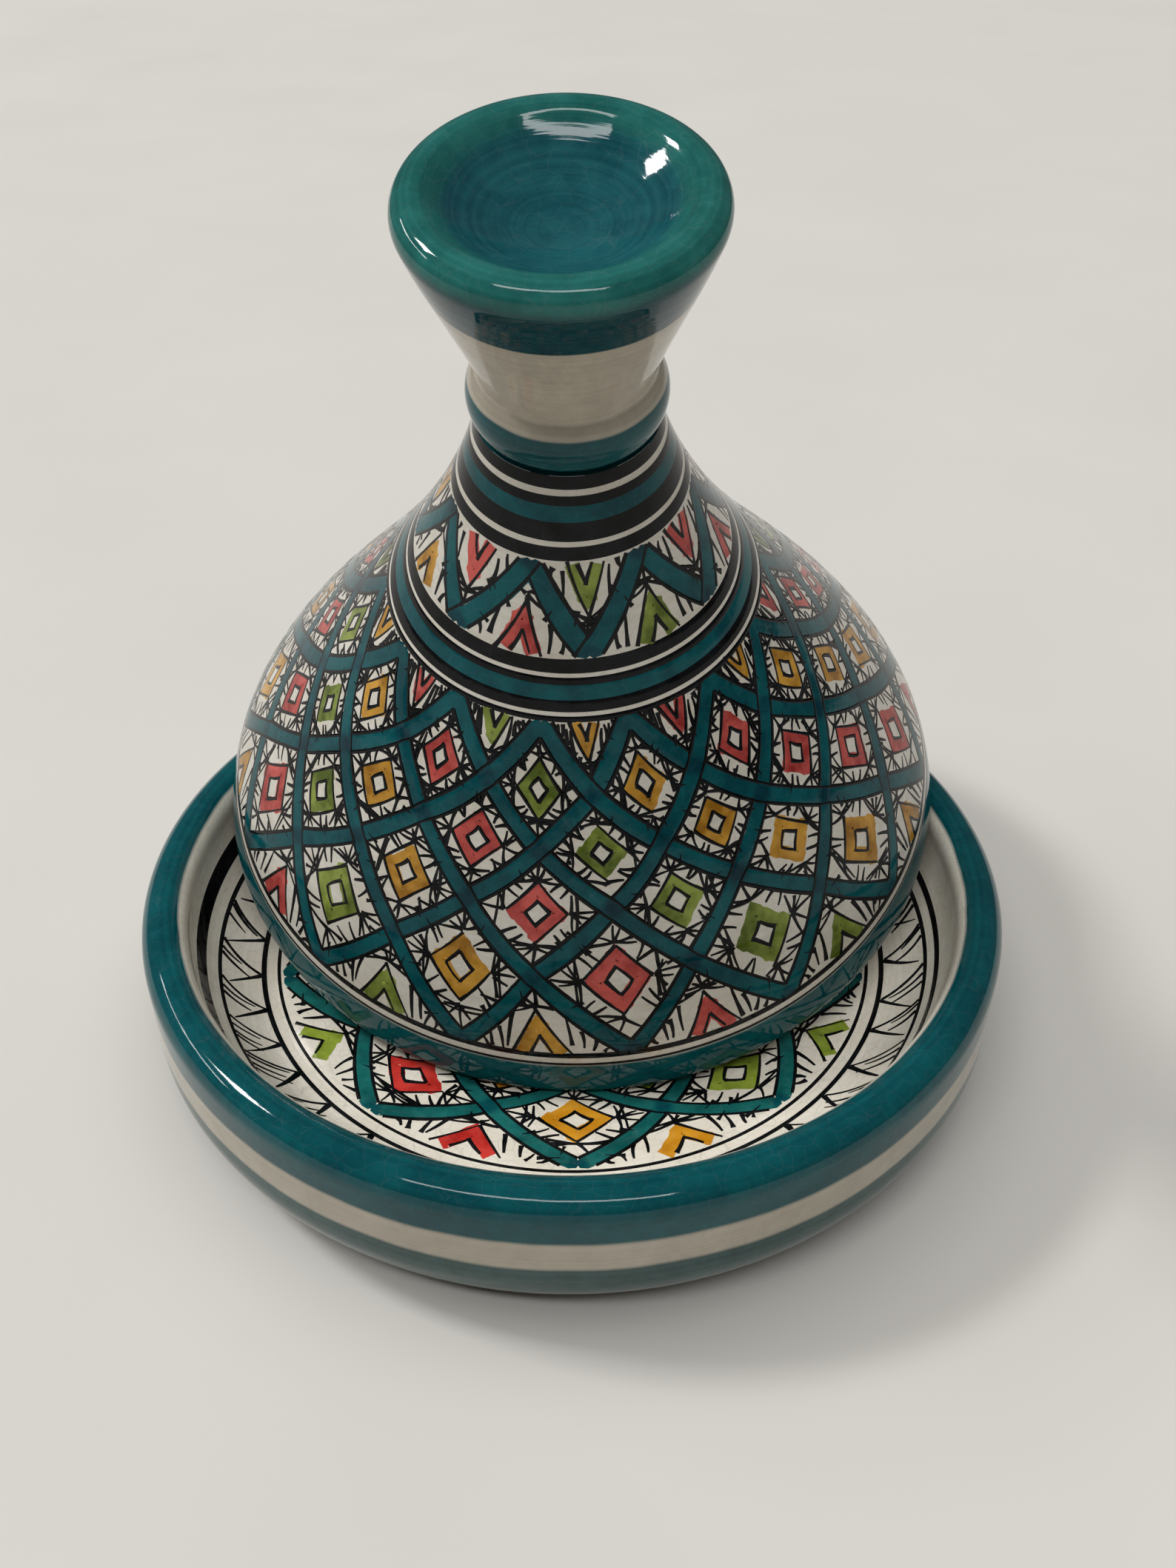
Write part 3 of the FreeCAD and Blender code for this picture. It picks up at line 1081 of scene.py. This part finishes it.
def paintZigzag(brushes, look):
    teal, repeats = brushes["teal"], look["repeats"]
    step = 360.0 / repeats
    tall = look["high"] - look["low"]

    def bends(ahead, reach):
        turns = [look["phase"] + (i + ahead) * step for i in range(repeats)]
        return [(turn + hand.gauss(0, look["unevenTurn"]), reach) for turn in turns]

    lows, highs = bends(0.0, look["low"]), bends(0.5, look["high"])
    for i, colour in enumerate(look["colours"]):
        low, high = lows[i], highs[i]
        wrap = 360.0 if i + 1 == repeats else 0.0
        nextLow = (lows[(i + 1) % repeats][0] + wrap, look["low"])
        back = 360.0 if i == 0 else 0.0
        priorHigh = (highs[i - 1][0] - back, look["high"])
        for ends in ([low, high], [high, nextLow]):
            teal.stroke(ends, look["band"], bow=0.3 * mm, **bandStroke)
        teal.knots += [teal.ground.at(*p) for p in (low, high)]
        upper = [low, high, (low[0], look["high"] + tall), priorHigh]
        lower = [(high[0], look["low"] - tall), nextLow, high, low]
        # the bands that rise to the right run over the others, so their borders run on
        vee = paintCell(brushes, upper, colour, "lower", look["band"] / 2, look["fanShares"])
        peak = paintCell(brushes, lower, colour, "upper", look["band"] / 2, look["fanShares"])
        for near, far, edge in ((vee[0], vee[1], look["low"]), (peak[2], peak[3], look["high"])):
            share = (edge - far[1]) / (near[1] - far[1])
            brushes["black"].stroke([near, between(far, near, share)], cellLook["border"])


paintZigzag(lidBrushes, neckZigzag)
blackPaint = paintMaterial("black")
lidPaints = {"teal": paintMaterial("teal", "overlap"), "black": blackPaint}
for colour in fillColours:
    lidPaints[colour] = paintMaterial(colour)
layPaints("lid", lidBrushes, lidBody, lidPaints)


# Dish painting: lattice on the floor, hatched zigzag and lines on the wall of the well

dishGround = Ground(wellFace, Matrix())
dishBrushes = {pigment: Brush(dishGround) for pigment in paintOrder}
dishLines = ((85.8, 87.0), (74.5, 75.7), (71.2, 72.0), (20.9, 21.8), (16.1, 16.9))
for low, high in dishLines:
    dishBrushes["black"].ring(low * mm, high * mm)
dishBrushes["black"].ring(90.1 * mm, 93.1 * mm, heavy=0.42, aside=1.3 * mm)
dishBrushes["teal"].ring(17.3 * mm, 20.6 * mm)

floorLattice = {
    "repeats": 9,
    "rings": [v * mm for v in (69.9, 55.9, 44.2, 33.0, 22.5)],
    "phase": 4.0,
    "twist": 0.0,
    "band": 3.8 * mm,
    "unevenTurn": 0.7,
    "unevenReach": 0.5 * mm,
    "colours": ("yellow", "green", "red"),
}
paintLattice(dishBrushes, floorLattice)

wallZigzag = {
    "repeats": 40,  # half of them to each side, painted from the front to the back
    "low": 75.6 * mm,
    "high": 85.9 * mm,
    "lean": -0.28,  # turns are shares of one repeat
    "thinTurn": 0.7,
    "shortTurns": (0.34, 0.54, 0.16),
    "shortLean": 0.6,
    "shortReach": (0.5, 0.85),
    "slash": (1.15 * mm, 0.65, 0.3 * mm, 0.35),  # width, taper, bow, blob
    "thin": (0.85 * mm, 0.2, 0.3 * mm, 0.2),
    "short": (0.9 * mm, 0.55, 0.3 * mm, 0.2),
}


def paintWall(brush, look):
    step = 360.0 / look["repeats"]
    tall = look["high"] - look["low"]
    for i in range(look["repeats"]):
        side = 1 if i % 2 else -1
        begin = (i // 2 + 0.5 + stray(0.1)) * step

        def draw(first, last, kind):
            ends = [(side * (begin + turn * step), look["low"] + rise * tall) for turn, rise in (first, last)]
            brush.dab(ends, *look[kind])

        draw((0.0, 0.0), (look["lean"] + stray(0.1), hand.uniform(0.8, 1.0)), "slash")
        draw((look["thinTurn"] + stray(0.06), 1.0), (0.03, 0.03), "thin")
        for turn in look["shortTurns"][:hand.choice((2, 2, 3))]:
            reach = hand.uniform(*look["shortReach"])
            draw((turn + stray(0.06), 1.0), (turn - look["shortLean"] * reach, 1.0 - reach), "short")


paintWall(dishBrushes["black"], wallZigzag)
dishPaints = {"black": blackPaint, "teal": paintMaterial("brightTeal", "teal")}
for colour in fillColours:
    dishPaints[colour] = paintMaterial("bright" + colour.capitalize())
layPaints("dish", dishBrushes, dishBody, dishPaints)


# Floor, light and camera

stageLook = {
    "floorSize": 8.0,
    "floorScale": 9.0,
    "floorRough": 0.9,
    "worldStrength": 0.08,
    "ceilingFrom": (0.0, 0.05, 1.0),
    "ceilingSpread": 70.0,
    "ceilingStrength": 1.2,
    "panelDistance": 20.0,  # far off, so that the floor is lit evenly
}
panels = {  # where from, size, strength
    "window": ((-0.65, 0.15, 0.74), (3.5, 3.0), 1.15),
    "skylight": ((-0.06, -0.48, 0.87), (16.0, 2.0), 0.9),
    "strip": ((-0.8, 0.2, 0.5), (10.5, 0.9), 0.4),
}

floorMesh = bpy.data.meshes.new("floor")
half = stageLook["floorSize"] / 2
floorCorners = [(-half, -half, 0), (half, -half, 0), (half, half, 0), (-half, half, 0)]
floorMesh.from_pydata(floorCorners, [], [(0, 1, 2, 3)])
floorPiece = addPiece("floor", floorMesh)
floorMaterial, floorTree, floorShader, floorSpot = startMaterial("paleFloor")
floorNoise = noise(floorTree, floorSpot, stageLook["floorScale"], 3.0)
floorShade = mixed(floorTree, floorNoise, *reversed(tones("floor")))
floorTree.links.new(floorShade, floorShader.inputs["Base Color"])
floorShader.inputs["Roughness"].default_value = stageLook["floorRough"]
floorMesh.materials.append(floorMaterial)

scene.world = bpy.data.worlds.new("studio")
scene.world.use_nodes = True
worldTree = scene.world.node_tree
worldTree.nodes.clear()
backdrop = addNode(worldTree, "ShaderNodeBackground", {
    "Color": (1.0, 1.0, 1.0, 1.0), "Strength": stageLook["worldStrength"]})
addNode(worldTree, "ShaderNodeOutputWorld", {"Surface": backdrop.outputs[0]})


def hangLamp(name, kind, start):
    lamp = addPiece(name + "Light", bpy.data.lights.new(name + "Light", kind))
    aim = -Vector(start).normalized()
    lamp.location = -aim * stageLook["panelDistance"]
    lamp.rotation_euler = aim.to_track_quat("-Z", "Y").to_euler()
    return lamp


ceiling = hangLamp("ceiling", "SUN", stageLook["ceilingFrom"])
ceiling.visible_glossy = False  # a soft fill, not seen in the glaze
ceiling.data.angle = math.radians(stageLook["ceilingSpread"])
ceiling.data.energy = stageLook["ceilingStrength"]
for name, (start, size, strength) in panels.items():
    panel = hangLamp(name, "AREA", start).data
    panel.shape = "RECTANGLE"
    panel.size, panel.size_y = size
    panel.energy = strength * math.pi * stageLook["panelDistance"] ** 2

cameraLook = {
    "place": (18.07 * mm, -274.01 * mm, 270.63 * mm),
    "pitch": 37.079,
    "yaw": -3.022,
    "roll": 0.061,
    "focalPixels": 2044.1,
    "imageWidth": 1588.0,
    "sensor": 36.0,
}
lens = bpy.data.cameras.new("photoCamera")
lens.sensor_fit = "HORIZONTAL"
lens.sensor_width = cameraLook["sensor"]
lens.lens = cameraLook["sensor"] * cameraLook["focalPixels"] / cameraLook["imageWidth"]
lens.clip_start = 0.01
camera = addPiece("photoCamera", lens)
pitch, yaw, roll = (math.radians(cameraLook[k]) for k in ("pitch", "yaw", "roll"))
aim = Matrix.Rotation(-yaw, 4, "Z") @ Matrix.Rotation(math.pi / 2 - pitch, 4, "X")
camera.matrix_world = Matrix.Translation(cameraLook["place"]) @ aim @ Matrix.Rotation(roll, 4, "Z")
scene.camera = camera
scene.view_settings.view_transform = "Standard"
